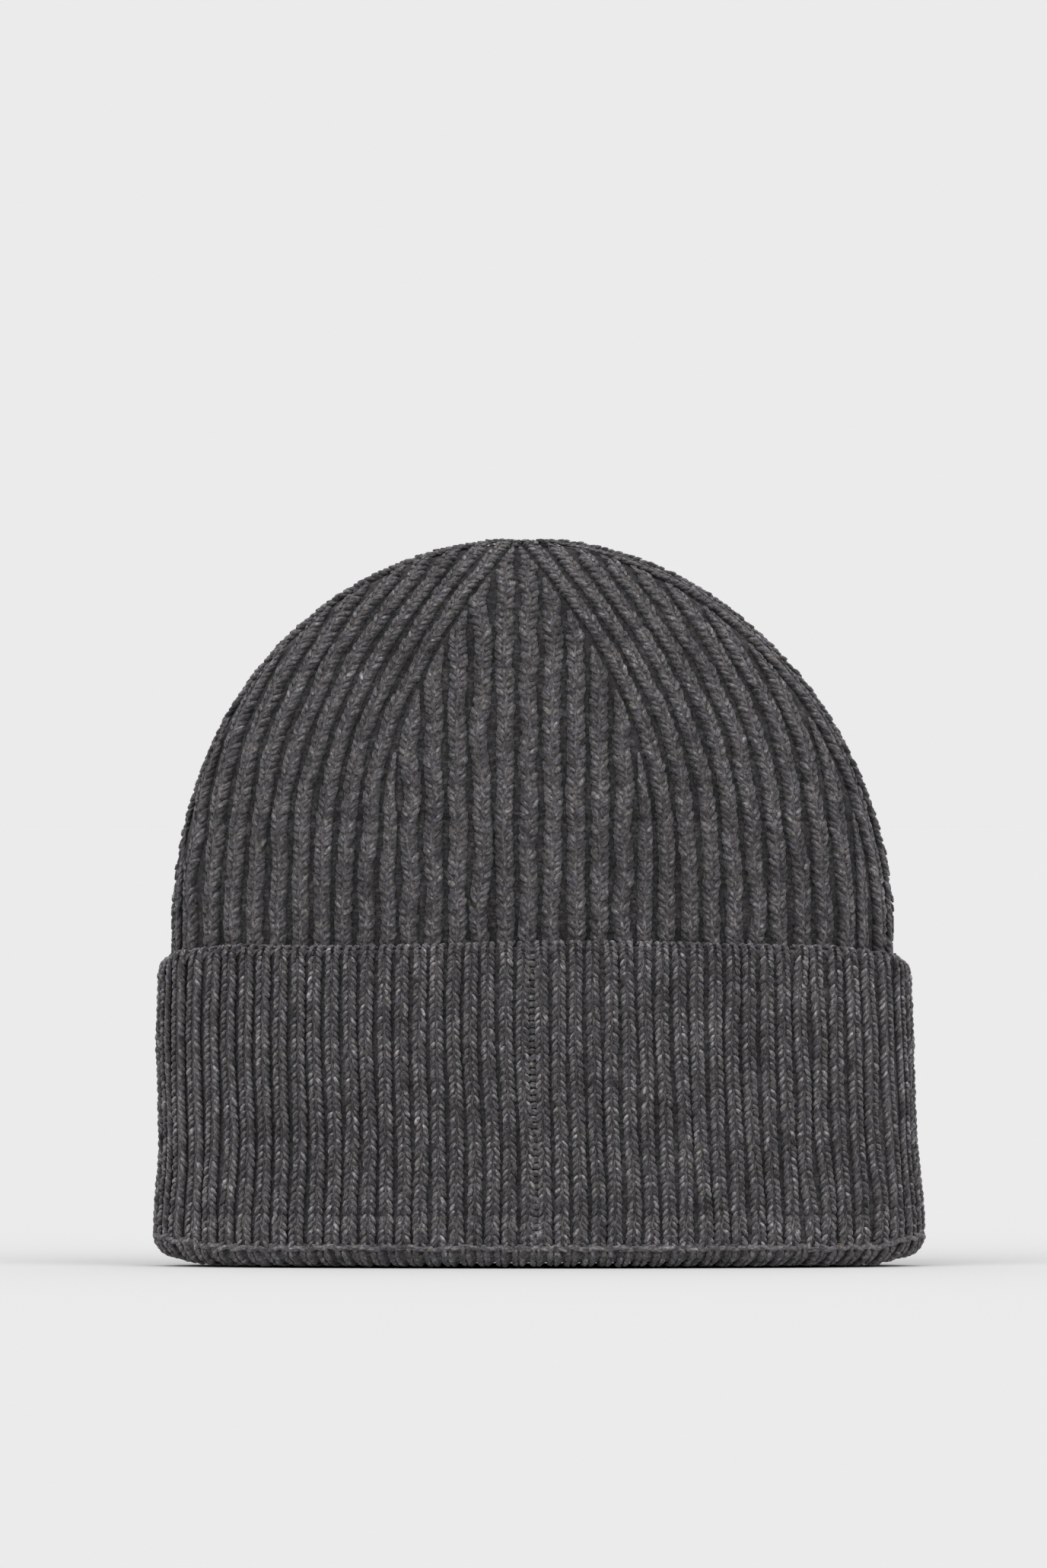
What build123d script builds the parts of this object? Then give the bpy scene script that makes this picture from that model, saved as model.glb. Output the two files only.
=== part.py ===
from build123d import *
import math
import os

# A knit beanie with a turned-up cuff, standing on its fold with the crown filled to an oval.
# +Z is up, -Y is the side with the centre seam, and the origin is the middle of the mouth
# on the plane that the fold rests on. All sizes are in millimetres.

# Driving dimensions
HALF_WIDTH = 102.5  # outside of the body fabric, along X
HALF_DEPTH = 31.0  # outside of the body fabric, along Y
FABRIC = 4.0  # thickness of the ribbed body fabric
CUFF_FABRIC = 3.8  # thickness of the finer ribbed cuff
DOME_BASE = 95.0  # the straight tube ends and the rounded crown begins
CROWN_TOP = 206.0
DART_BASE = 126.0  # the decreases begin
DART_SPREAD = 0.38  # where the inner darts begin, as a fraction of the half width
SEAM_WIDTH = 1.6
SEAM_RISE = 0.4  # how far a linking seam stands out of the fabric
GATHER_RADIUS = 4.0

FOLD_HEIGHT = 8.5
FOLD_OUTSET = 6.9  # the outside of the fold, beyond the body fabric
FOLD_ROUND = 3.5
FOLD_GAP = 2.4  # air between the two layers just above the fold
FOLD_GAP_FLOOR = 4.5
COURSE_HEIGHT = 4.8
COURSE_YARN = 1.6
COURSE_RISE = 0.7

CUFF_TOP = 92.0
EDGE_HEIGHT = 4.0
EDGE_ROUND = 1.5
# Height, and how far the outside of the cuff stands beyond the body fabric there
CUFF_FLARE = ((FOLD_HEIGHT, 6.9), (18.0, 6.6), (34.0, 5.3), (50.0, 4.9), (71.0, 4.7), (88.0, 4.3))
CUFF_SEAM_WIDTH = 2.0

RIDGE_WIDTH = 5.0  # the seam allowance inside the body
RIDGE_DEPTH = 3.0
RIDGE_CLEARANCE = 0.05
RIDGE_TOP = 190.0

LABEL_WIDTH = 30.0
LABEL_HEIGHT = 42.0
LABEL_THICKNESS = 0.8
LABEL_BASE = 28.0
TACK_WIDTH = 6.0
TACK_HEIGHT = 1.6
TACK_RISE = 0.4

dome_height = CROWN_TOP - DOME_BASE
reach = 2 * HALF_WIDTH  # anything longer than the hat is wide


def oval(outset):
    """An ellipse that stands outset beyond the outside of the body fabric."""
    return Ellipse(HALF_WIDTH + outset, HALF_DEPTH + outset)


def cut_oval(outset):
    """The same ellipse taken away from the sketch."""
    return Ellipse(HALF_WIDTH + outset, HALF_DEPTH + outset, mode=Mode.SUBTRACT)


def half_ellipsoid(outset):
    """The upper half of the crown's ellipsoid, outset beyond the body fabric."""
    height = dome_height + outset
    with BuildPart() as half:
        Sphere(height, arc_size1=0, align=(Align.CENTER, Align.CENTER, Align.MIN))
        scale(by=((HALF_WIDTH + outset) / height, (HALF_DEPTH + outset) / height, 1))
    return half.part


def dome_shell(outer, inner):
    """The crown between two outsets."""
    with BuildPart() as shell:
        with Locations((0, 0, DOME_BASE)):
            add(half_ellipsoid(outer))
            add(half_ellipsoid(inner), mode=Mode.SUBTRACT)
    return shell.part


def cuff_loft(inset):
    """The cuff's outer surface as a solid, drawn in by inset."""
    with BuildPart() as solid:
        for height, outset in CUFF_FLARE:
            with BuildSketch(Plane.XY.offset(height)):
                oval(outset - inset)
        loft()
    return solid.part


def cuff_shell():
    """The turned-up layer as one closed band."""
    with BuildPart() as band:
        add(cuff_loft(0))
        add(cuff_loft(CUFF_FABRIC), mode=Mode.SUBTRACT)
    return band.part


def save(name, piece):
    piece.part.label = name
    export_step(piece.part, f"parts/{name}.step")


os.makedirs("parts", exist_ok=True)

# Body tube: the straight inner layer and the lower, undecreased part of the crown
fabric_dome = dome_shell(0, -FABRIC)
with BuildPart() as body_tube:
    with BuildSketch(Plane.XY.offset(FOLD_HEIGHT)):
        oval(0)
        cut_oval(-FABRIC)
    extrude(amount=DOME_BASE - FOLD_HEIGHT)
    add(fabric_dome)
    split(bisect_by=Plane.XY.offset(DART_BASE), keep=Keep.BOTTOM)
save("body_tube", body_tube)

# Crown sectors: each lies between two darts, which run to the top in vertical planes
dart_angle = math.degrees(
    math.atan2(HALF_DEPTH * math.sqrt(1 - DART_SPREAD**2), HALF_WIDTH * DART_SPREAD)
)
darts = {
    "right": 0,
    "back_right": dart_angle,
    "back_left": 180 - dart_angle,
    "left": 180,
    "front_left": 180 + dart_angle,
    "front_right": 360 - dart_angle,
}
gores = {
    "back_right": (0, dart_angle),
    "back": (dart_angle, 180 - dart_angle),
    "back_left": (180 - dart_angle, 180),
    "front_left": (180, 180 + dart_angle),
    "front": (180 + dart_angle, 360 - dart_angle),
    "front_right": (360 - dart_angle, 360),
}
for side, (first, last) in gores.items():
    with BuildPart() as gore:
        add(fabric_dome)
        with BuildSketch(Plane.XY.offset(DART_BASE)):
            with BuildLine():
                corner_1 = (reach * math.cos(math.radians(first)), reach * math.sin(math.radians(first)))
                corner_2 = (reach * math.cos(math.radians(last)), reach * math.sin(math.radians(last)))
                Polyline((0, 0), corner_1, corner_2, close=True)
            make_face()
            offset(amount=-SEAM_WIDTH / 2, kind=Kind.INTERSECTION, mode=Mode.REPLACE)
            Circle(GATHER_RADIUS, mode=Mode.SUBTRACT)
        extrude(amount=reach, mode=Mode.INTERSECT)
    save(f"gore_{side}", gore)

# Dart seams: the linked decrease lines between the sectors
seam_dome = dome_shell(SEAM_RISE, -FABRIC - SEAM_RISE)
for side, angle in darts.items():
    with BuildPart() as dart:
        add(seam_dome)
        with BuildSketch(Plane.XY.offset(DART_BASE)):
            with Locations(Rotation(0, 0, angle)):
                Rectangle(reach, SEAM_WIDTH, align=(Align.MIN, Align.CENTER))
            Circle(GATHER_RADIUS, mode=Mode.SUBTRACT)
        extrude(amount=reach, mode=Mode.INTERSECT)
    save(f"dart_seam_{side}", dart)

# Crown gather: the last stitches, drawn together by the closing yarn
with BuildPart() as crown_gather:
    add(seam_dome)
    with BuildSketch(Plane.XY.offset(DART_BASE)):
        Circle(GATHER_RADIUS)
    extrude(amount=reach, mode=Mode.INTERSECT)
save("crown_gather", crown_gather)

# Body seam: the joined selvedges of the knitted panel, a ridge inside the front
ridge_outset = -FABRIC - RIDGE_CLEARANCE
with BuildPart() as body_seam:
    with BuildSketch(Plane.YZ):
        with Locations((0, DOME_BASE)):
            Ellipse(HALF_DEPTH + ridge_outset, dome_height + ridge_outset)
            Ellipse(
                HALF_DEPTH + ridge_outset - RIDGE_DEPTH,
                dome_height + ridge_outset - RIDGE_DEPTH,
                mode=Mode.SUBTRACT,
            )
            Rectangle(
                reach, RIDGE_TOP - DOME_BASE, align=(Align.MAX, Align.MIN), mode=Mode.INTERSECT
            )
        with Locations((-HALF_DEPTH - ridge_outset, FOLD_HEIGHT)):
            Rectangle(RIDGE_DEPTH, DOME_BASE - FOLD_HEIGHT, align=(Align.MIN, Align.MIN))
    extrude(amount=RIDGE_WIDTH / 2, both=True)
save("body_seam", body_seam)

# Brim fold: the two layers meet in a roll with a narrow gap above it
with BuildPart() as brim_fold:
    with BuildSketch():
        oval(FOLD_OUTSET)
        cut_oval(-FABRIC)
    extrude(amount=FOLD_HEIGHT)
    fillet(brim_fold.edges().group_by(Axis.Z)[0], radius=FOLD_ROUND)
    with BuildSketch(Plane.XY.offset(FOLD_HEIGHT)):
        oval(FOLD_GAP + 0.5)
        cut_oval(0.5)
    extrude(amount=FOLD_GAP_FLOOR - FOLD_HEIGHT, mode=Mode.SUBTRACT)
save("brim_fold", brim_fold)

# Fold course: the row of yarn where the body rib changes to the cuff rib
with BuildPart() as fold_course:
    with BuildSketch(Plane.XY.offset(COURSE_HEIGHT)):
        oval(FOLD_OUTSET + COURSE_RISE)
        cut_oval(FOLD_OUTSET)
    extrude(amount=COURSE_YARN)
    outer_edges = fold_course.faces().filter_by(Axis.Z).edges().sort_by(SortBy.LENGTH)[-2:]
    fillet(outer_edges, radius=COURSE_RISE / 2)
save("fold_course", fold_course)

# Cuff panel, and the seam that closes it at the front
with BuildPart() as cuff_panel:
    add(cuff_shell())
    with Locations((0, 0, FOLD_HEIGHT)):
        Box(
            CUFF_SEAM_WIDTH, reach, reach,
            align=(Align.CENTER, Align.MAX, Align.MIN), mode=Mode.SUBTRACT,
        )
save("cuff_panel", cuff_panel)

with BuildPart() as cuff_seam:
    add(cuff_shell())
    with Locations((0, 0, FOLD_HEIGHT)):
        Box(
            CUFF_SEAM_WIDTH, reach, reach,
            align=(Align.CENTER, Align.MAX, Align.MIN), mode=Mode.INTERSECT,
        )
save("cuff_seam", cuff_seam)

# Cuff edge: the cast-on edge along the top of the cuff
edge_outset = CUFF_FLARE[-1][1]
with BuildPart() as cuff_edge:
    with BuildSketch(Plane.XY.offset(CUFF_TOP - EDGE_HEIGHT)):
        oval(edge_outset)
        cut_oval(edge_outset - CUFF_FABRIC)
    extrude(amount=EDGE_HEIGHT)
    fillet(cuff_edge.edges().group_by(Axis.Z)[-1], radius=EDGE_ROUND)
save("cuff_edge", cuff_edge)

# Care label: a blank tape hanging inside on the seam ridge, with its tacks
ridge_face = -(HALF_DEPTH + ridge_outset - RIDGE_DEPTH)
with BuildPart() as care_label:
    with Locations((0, ridge_face, LABEL_BASE)):
        Box(
            LABEL_WIDTH, LABEL_THICKNESS, LABEL_HEIGHT,
            align=(Align.CENTER, Align.MIN, Align.MIN),
        )
    fillet(care_label.edges().filter_by(Axis.Y).group_by(Axis.Z)[0], radius=LABEL_THICKNESS)
save("care_label", care_label)

with BuildPart() as label_tacks:
    tack_height = LABEL_BASE + LABEL_HEIGHT - 2 * TACK_HEIGHT
    with Locations((0, ridge_face + LABEL_THICKNESS, tack_height)):
        with GridLocations(LABEL_WIDTH - 2 * TACK_WIDTH, 1, 2, 1):
            Box(TACK_WIDTH, TACK_RISE, TACK_HEIGHT, align=(Align.CENTER, Align.MIN, Align.MIN))
save("label_tacks", label_tacks)
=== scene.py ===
import math

import bpy
import numpy as np
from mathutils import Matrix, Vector


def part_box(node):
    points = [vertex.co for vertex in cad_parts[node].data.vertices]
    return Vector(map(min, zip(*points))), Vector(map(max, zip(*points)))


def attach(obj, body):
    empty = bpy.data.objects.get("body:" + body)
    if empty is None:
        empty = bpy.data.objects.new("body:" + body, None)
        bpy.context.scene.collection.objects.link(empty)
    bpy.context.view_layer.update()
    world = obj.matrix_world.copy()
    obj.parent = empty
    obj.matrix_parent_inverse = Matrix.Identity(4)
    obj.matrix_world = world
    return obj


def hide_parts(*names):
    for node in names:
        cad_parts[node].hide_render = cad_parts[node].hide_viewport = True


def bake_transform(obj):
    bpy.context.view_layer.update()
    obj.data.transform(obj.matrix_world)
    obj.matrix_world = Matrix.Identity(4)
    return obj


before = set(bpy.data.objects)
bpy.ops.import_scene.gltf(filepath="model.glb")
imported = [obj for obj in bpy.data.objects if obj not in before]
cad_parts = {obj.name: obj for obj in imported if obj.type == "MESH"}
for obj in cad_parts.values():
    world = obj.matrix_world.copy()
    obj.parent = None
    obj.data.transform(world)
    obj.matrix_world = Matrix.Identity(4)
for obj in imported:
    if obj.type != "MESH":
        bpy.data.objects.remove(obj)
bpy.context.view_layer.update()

# A ribbed wool beanie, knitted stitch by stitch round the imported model.
# Lengths in this script are millimetres, and MM turns them into the frame's metres.
MM = 0.001
rng = np.random.default_rng(11)


# ---- sizes from the frame
def node_box(name):
    """A node's lowest and highest corners, in millimetres."""
    low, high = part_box(name)
    return np.array(low) / MM, np.array(high) / MM


tube_high = node_box("body_tube")[1]
fold_high = node_box("brim_fold")[1]
edge_low, edge_high = node_box("cuff_edge")

HALF_WIDTH = tube_high[0]
HALF_DEPTH = tube_high[1]
DART_BASE = tube_high[2]  # where the decreases begin
FOLD_TOP = fold_high[2]
CUFF_TOP = edge_high[2]
CROWN_TOP = node_box("crown_gather")[1][2]
FOLD_OUTSET = fold_high[0] - HALF_WIDTH
EDGE_OUTSET = edge_high[0] - HALF_WIDTH
DOME_BASE = 95.0  # where the straight tube turns into the rounded crown
DOME_RISE = CROWN_TOP - DOME_BASE
FABRIC = 4.0  # thickness of the body's knitting

# ---- sizes of the knitting
BODY_RIBS = 64  # this many would go round if all were as wide as the centre ribs
CUFF_RIBS = 92
CENTRE_RIBS = 6  # from the centre groove to a dart, on each side
SIDE_RIBS = 11  # from that dart to the side of the crown
DART_SPAN = 46.5  # half the width of the centre sector would be this at the dome's base
GROOVE_X = -6.3  # the centre groove of the crown
CUFF_GROOVE_X = -0.8
TUBE_START = 24.0  # no stitches below this, because the cuff and the fold hide them


def smooth(t):
    """0 below 0, 1 above 1, and an even curve between."""
    t = np.clip(t, 0.0, 1.0)
    return t * t * (3 - 2 * t)


TURNED_STRETCH = 1.28  # how much wider a rib is, at most, where the oval turns away
SIDE_STRETCH = 1.12  # and at the very side
SIDE_START = 0.93  # where that begins, as a share of the half width


class Oval:
    """Turns a share of the ribs round an ellipse, from the front towards the right, into an
    angle. Ribs are a little wider where the oval turns away from the front and back."""

    def __init__(self, half_width, half_depth):
        self.angles = np.linspace(0, 2 * math.pi, 4001)
        middle = (self.angles[1:] + self.angles[:-1]) / 2
        across = half_width * np.abs(np.cos(middle))
        step = np.hypot(across, half_depth * np.sin(middle))
        stretch = np.minimum(step / np.maximum(across, 1e-6), TURNED_STRETCH)
        at_side = smooth((np.abs(np.sin(middle)) - SIDE_START) / 0.06)
        stretch = stretch + (SIDE_STRETCH - stretch) * at_side
        length = np.concatenate([[0], np.cumsum(step / stretch * np.diff(self.angles))])
        self.girth = length[-1]
        self.shares = length / self.girth

    def angle(self, share):
        turns = np.floor(share)
        return 2 * math.pi * turns + np.interp(share - turns, self.shares, self.angles)


BODY_OVAL = Oval(HALF_WIDTH, HALF_DEPTH)
CUFF_OVAL = Oval(HALF_WIDTH + EDGE_OUTSET, HALF_DEPTH + EDGE_OUTSET)


# ---- the surface of the body
BASE_LEAN = 1.9  # how far to the left the body stands above the fold
TOP_LEAN = 2.2  # and how much further its top leans


def crown_climb(level):
    """The angle that a level has climbed round the dome."""
    return np.clip((level - DOME_BASE) / DOME_RISE, 0, math.pi / 2)


def crown_taper(level):
    """How wide the crown is at a level, as a share of the tube, from 1 down to 0."""
    return np.cos(crown_climb(level))


def crown_height(level):
    return np.where(level < DOME_BASE, level, DOME_BASE + DOME_RISE * np.sin(crown_climb(level)))


def crown_lean(level):
    height = crown_height(level)
    return -BASE_LEAN * smooth((height + 10) / 60) - TOP_LEAN * smooth((height - 105) / 90)


def crown_surface(share, level):
    """Outside of the body: share runs round from the front, level runs up and over the dome."""
    taper = crown_taper(level)
    angle = BODY_OVAL.angle(share)
    across = crown_lean(level) + HALF_WIDTH * taper * np.sin(angle)
    depth = -HALF_DEPTH * taper * np.cos(angle)
    return np.stack(np.broadcast_arrays(across, depth, crown_height(level)), -1)


# ---- the surface of the cuff
EDGE_RADIUS = 1.9  # the cast-on edge rounds over the top of the cuff
EDGE_ARC = EDGE_RADIUS * math.pi / 2
FOLD_MIDDLE = (FOLD_OUTSET - FABRIC) / 2  # outset of the middle of the roll
FOLD_REACH = (FOLD_OUTSET + FABRIC) / 2  # from there to its outside
FOLD_DROP = 5.6  # height of the roll
FOLD_SPRING = FOLD_DROP + 0.3  # height at which it begins
CUFF_RUN = CUFF_TOP - EDGE_RADIUS - FOLD_SPRING
ROLL_START = EDGE_ARC + CUFF_RUN
ROLL_LENGTH = math.pi * FOLD_REACH

UPPER_FLARE = 0.6  # how much the upper cuff widens downwards
CUFF_LEAN = 1.2  # how far to the left its edge leans
END_LIFT = 2.8  # how far both ends of the fold rise off the table
END_DROOP = 2.6  # how far the edge droops towards its ends
CORNER_DROOP = 4.0  # and how much further at its very ends
EDGE_SAG = 0.7  # the slow wave along the edge
SAGS = 3  # and how often it waves


def cuff_outset(height):
    """The cuff widens downwards, most of all near the fold."""
    return (
        EDGE_OUTSET
        + UPPER_FLARE * smooth((CUFF_TOP - height) / 30)
        + (FOLD_OUTSET - EDGE_OUTSET - UPPER_FLARE) * smooth((40 - height) / 33)
    )


def cuff_surface(share, drop):
    """Outside of the cuff: drop runs from the crest of its edge, where it is 0, down to the
    fold and round it. Below 0 it runs down the back of the edge."""
    drop = np.asarray(drop, float)
    edge_turn = np.clip(drop / EDGE_RADIUS, -math.pi / 2, math.pi / 2)
    edge_outset = EDGE_OUTSET - EDGE_RADIUS + EDGE_RADIUS * np.sin(edge_turn)
    edge_height = CUFF_TOP - EDGE_RADIUS + EDGE_RADIUS * np.cos(edge_turn)
    panel_height = CUFF_TOP - EDGE_RADIUS - (drop - EDGE_ARC)
    roll_turn = np.clip((drop - ROLL_START) / ROLL_LENGTH, 0, 1) * math.pi
    roll_outset = FOLD_MIDDLE + FOLD_REACH * np.cos(roll_turn)
    roll_height = FOLD_SPRING - FOLD_DROP * np.sin(roll_turn)
    on_edge = drop < EDGE_ARC
    on_roll = drop > ROLL_START
    outset = np.where(on_roll, roll_outset, cuff_outset(panel_height))
    outset = np.where(on_edge, edge_outset, outset)
    height = np.where(on_edge, edge_height, np.where(on_roll, roll_height, panel_height))
    height = np.where(drop < -EDGE_ARC, height + drop + EDGE_ARC, height)
    angle = CUFF_OVAL.angle(share)
    lean = -CUFF_LEAN * smooth((height - 20) / 50)
    across = (HALF_WIDTH + outset) * np.sin(angle)
    depth = -(HALF_DEPTH + outset) * np.cos(angle)
    ends = np.abs(across)
    near_edge = smooth((height - 60) / 30)
    lift = END_LIFT * smooth((ends - 92) / 18) * smooth((30 - height) / 24)
    droop = END_DROOP * smooth((ends - 80) / 26) + CORNER_DROOP * smooth((ends - 100) / 8)
    sag = EDGE_SAG * np.sin(share * 2 * math.pi * SAGS + 1.0) * near_edge
    rise = height + lift - droop * near_edge + sag
    return np.stack(np.broadcast_arrays(across + lean, depth, rise), -1)


def unit(vectors):
    return vectors / np.linalg.norm(vectors, axis=-1, keepdims=True)


def surface_normal(surface, share, level):
    """The outward normal, from small steps along the surface."""
    side_step = 2e-4
    up_step = 0.05
    right = surface(share + side_step, level) - surface(share - side_step, level)
    up = surface(share, level + up_step) - surface(share, level - up_step)
    normal = unit(np.cross(right, up))
    if surface is cuff_surface:
        normal = -normal  # its levels run downwards
    return normal


# ---- ribs
class Rib:
    """A line along the fabric, with the directions and the curve of the surface round it.
    width_share is the rib's width as a share of the girth, or None for a line round it."""

    def __init__(self, surface, share, level, width_share=None):
        share, level = np.broadcast_arrays(share, level)
        points = surface(share, level)
        normal = surface_normal(surface, share, level)
        tangent = unit(np.gradient(points, axis=0))
        tangent = unit(tangent - normal * np.sum(tangent * normal, -1, keepdims=True))
        across = np.cross(tangent, normal)
        bend = np.zeros(len(points))
        width = np.ones(len(points))
        if width_share is not None:
            near = 2e-3
            ahead, behind = share + near, share - near
            turn = surface_normal(surface, ahead, level) - surface_normal(surface, behind, level)
            reach = np.sum((surface(ahead, level) - surface(behind, level)) * across, -1)
            bend = np.sum(turn * across, -1) / reach
            width = width_share * np.abs(reach) / (2 * near)
        length = np.linalg.norm(np.diff(points, axis=0), axis=-1)
        self.distance = np.concatenate([[0], np.cumsum(length)])
        self.length = self.distance[-1]
        self.level = level
        self.table = np.concatenate([points, normal, across, bend[:, None], width[:, None]], axis=1)

    def width_at(self, along):
        return np.interp(along, self.distance, self.table[:, -1])

    def place(self, along, aside, out, crown=0.0):
        """Points for distances along the rib, round it and out of the surface. crown is the
        angle by which the rib itself is rounded across its width."""
        flat = np.ravel(along)
        row = np.stack([np.interp(flat, self.distance, column) for column in self.table.T], -1)
        row = row.reshape(np.shape(along) + (self.table.shape[1],))
        point, normal, across = row[..., 0:3], row[..., 3:6], row[..., 6:9]
        bend = row[..., 9] + crown / row[..., 10]
        bend = np.where(np.abs(bend) < 1e-5, 1e-5, bend)
        swing = np.clip(bend * aside, -1.5, 1.5)
        shift = np.sin(swing) / bend
        drop = (1 - np.cos(swing)) / bend
        facing = normal * np.cos(swing)[..., None] + across * np.sin(swing)[..., None]
        base = point + across * shift[..., None] - normal * drop[..., None]
        return base + facing * out[..., None]


class Strands:
    """Collects the vertices, faces, tones and fibre coordinates of one piece."""

    def __init__(self):
        self.points = []
        self.quads = []
        self.tris = []
        self.tones = []
        self.fibres = []
        self.count = 0

    def add(self, points, quads, tris, tones, fibres=None):
        """points is (items, points each, 3), and the faces are those of one item."""
        items, each = points.shape[:2]
        offset = self.count + each * np.arange(items)[:, None, None]
        self.points.append(points.reshape(-1, 3))
        self.quads.append((quads[None] + offset).reshape(-1, 4))
        self.tris.append((tris[None] + offset).reshape(-1, 3))
        self.tones.append(np.broadcast_to(tones, items * each))
        self.fibres.append((points if fibres is None else fibres).reshape(-1, 3))
        self.count += items * each

    def build(self, name, material):
        points = np.concatenate(self.points) * MM
        quads = np.concatenate(self.quads)
        tris = np.concatenate(self.tris)
        mesh = bpy.data.meshes.new(name)
        mesh.vertices.add(len(points))
        mesh.vertices.foreach_set("co", points.ravel())
        mesh.loops.add(quads.size + tris.size)
        mesh.loops.foreach_set("vertex_index", np.concatenate([quads.ravel(), tris.ravel()]))
        mesh.polygons.add(len(quads) + len(tris))
        quad_starts = np.arange(len(quads)) * 4
        starts = np.concatenate([quad_starts, quads.size + np.arange(len(tris)) * 3])
        mesh.polygons.foreach_set("loop_start", starts)
        mesh.polygons.foreach_set("use_smooth", np.ones(len(starts), bool))
        mesh.update(calc_edges=True)
        tone = mesh.attributes.new("tone", "FLOAT", "POINT")
        tone.data.foreach_set("value", np.concatenate(self.tones).astype(np.float32))
        fibre = mesh.attributes.new("fibre", "FLOAT_VECTOR", "POINT")
        fibre.data.foreach_set("vector", np.concatenate(self.fibres).astype(np.float32).ravel())
        mesh.materials.append(material)
        piece = bpy.data.objects.new(name, mesh)
        bpy.context.scene.collection.objects.link(piece)
        return piece


# ---- yarns and stitches
RINGS = 4
SIDES = 6
RING_PLACES = np.array([0.08, 0.36, 0.68, 0.93])  # as shares of the yarn's length
RING_SIZES = np.array([0.62, 1.0, 1.0, 0.6])
TIP_PLACES = np.array([0.0, 1.0])
NEAR = 0.05  # the step that gives a yarn's direction
NO_TRIS = np.zeros((0, 3), int)


def yarn_faces():
    """Faces of one yarn: RINGS rings of SIDES points, then a point at each end."""
    quads = []
    for ring in range(RINGS - 1):
        for side in range(SIDES):
            near = ring * SIDES + side
            beside = ring * SIDES + (side + 1) % SIDES
            quads.append((near, beside, beside + SIDES, near + SIDES))
    first_tip = RINGS * SIDES
    last_ring = (RINGS - 1) * SIDES
    tris = []
    for side in range(SIDES):
        beside = (side + 1) % SIDES
        tris.append((beside, side, first_tip))
        tris.append((last_ring + side, last_ring + beside, first_tip + 1))
    return np.array(quads), np.array(tris)


YARN_QUADS, YARN_TRIS = yarn_faces()


def add_yarns(strands, rib, along, aside, out, thick, tones, crown=0.0, shade=0.0):
    """Adds short yarns to a piece. along, aside and out are functions of the place on the yarn
    from 0 to 1 and give one row for each yarn, and thick is (across, out) radii for each.
    shade is how much painted shade dims a yarn towards the sides of the rib."""
    places = np.concatenate([RING_PLACES, TIP_PLACES])
    line_along, line_aside, line_out = along(places), aside(places), out(places)
    ahead = along(places + NEAR) - line_along
    sideways = aside(places + NEAR) - line_aside
    long = np.hypot(ahead, sideways)
    turn = 2 * math.pi * (np.arange(SIDES) + 0.25) / SIDES
    wide = thick[0][:, None, None] * RING_SIZES[None, :, None] * np.cos(turn)
    deep = thick[1][:, None, None] * RING_SIZES[None, :, None] * np.sin(turn)
    ring = slice(0, RINGS)
    part_along = line_along[:, ring, None] - wide * (sideways / long)[:, ring, None]
    part_aside = line_aside[:, ring, None] + wide * (ahead / long)[:, ring, None]
    part_out = line_out[:, ring, None] + deep
    items = len(line_along)
    all_along = np.concatenate([part_along.reshape(items, -1), line_along[:, RINGS:]], 1)
    all_aside = np.concatenate([part_aside.reshape(items, -1), line_aside[:, RINGS:]], 1)
    all_out = np.concatenate([part_out.reshape(items, -1), line_out[:, RINGS:]], 1)
    points = rib.place(all_along, all_aside, all_out, crown)
    fibre_along = np.concatenate([np.repeat(RING_PLACES, SIDES), TIP_PLACES])
    fibre_along = fibre_along[None, :] * (long[:, :1] / NEAR)
    fibre_round = np.concatenate([wide.reshape(items, -1), np.zeros((items, 2))], 1)
    seed = np.repeat(rng.uniform(0, 500, items)[:, None], fibre_along.shape[1], 1)
    fibres = np.stack([fibre_along, fibre_round, seed], -1)
    # Painted shade: the tone falls away towards the sides of the rib.
    painted_side_shade = shade * (2 * all_aside / rib.width_at(all_along)) ** 2
    strands.add(points, YARN_QUADS, YARN_TRIS, (tones[:, None] - painted_side_shade).ravel(), fibres)


class Stitch:
    """The shape of a knit stitch, which shows two legs. Widths are shares of the rib's width,
    lengths are shares of the course, and depths are millimetres on a rib of the usual width."""

    course = 1.9  # from one row to the next, in millimetres
    usual = 4.8  # the usual width of a rib, in millimetres
    crown = 1.6  # the angle by which the rib is rounded
    shade = 1.5  # painted shade on the sides of the rib, where it turns into the groove
    inner = 0.1  # how far from the middle a leg starts
    outer = 0.46  # and ends
    reach = 1.35  # how far a leg runs along the rib
    slim = 0.3  # half the width of a leg, as a share of the course
    deep = 0.5  # half its depth
    arch = 0.35  # how far it bows out
    sink = 0.6  # depth of the yarn's middle under the surface
    core = 0.4  # depth of the ridge that fills the rib under the stitches
    uneven = 1.0  # how much the stitches differ

    def __init__(self, **changes):
        vars(self).update(changes)


BODY_STITCH = Stitch(
    usual=6.7, crown=2.25, shade=3.8, inner=0.07, outer=0.58, reach=1.5,
    slim=0.42, arch=0.14, sink=0.55, core=0.15, uneven=1.8,
)
EDGE_STITCH = Stitch(course=1.3, crown=1.5, reach=1.6, slim=0.42, arch=0.1, core=0.15, uneven=0.8)
CUFF_STITCH = Stitch(deep=0.56)
FLAT_STITCH = Stitch(crown=0.9, shade=0.6, slim=0.32, deep=0.52, arch=0.25, sink=0.7, core=0.3)
FOLD_STITCH = Stitch(shade=3.2, inner=0.15, outer=0.37, slim=0.55, arch=0.15, core=0.1, uneven=0.9)

# Spreads of what differs from stitch to stitch, where uneven is 1
FOOT_SPREAD = 0.09  # of a course
STRAY_SPREAD = 0.015  # of the rib's width
LIFT_SPREAD = 0.07  # in millimetres
SIZE_SPREAD = 0.08  # of a leg's length and of its thickness
OUTER_SPREAD = 0.05


def slimness(stitch, width):
    """How slender the stitches are on a rib of this width."""
    return np.clip(width / stitch.usual, 0.3, 1.1)


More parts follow.
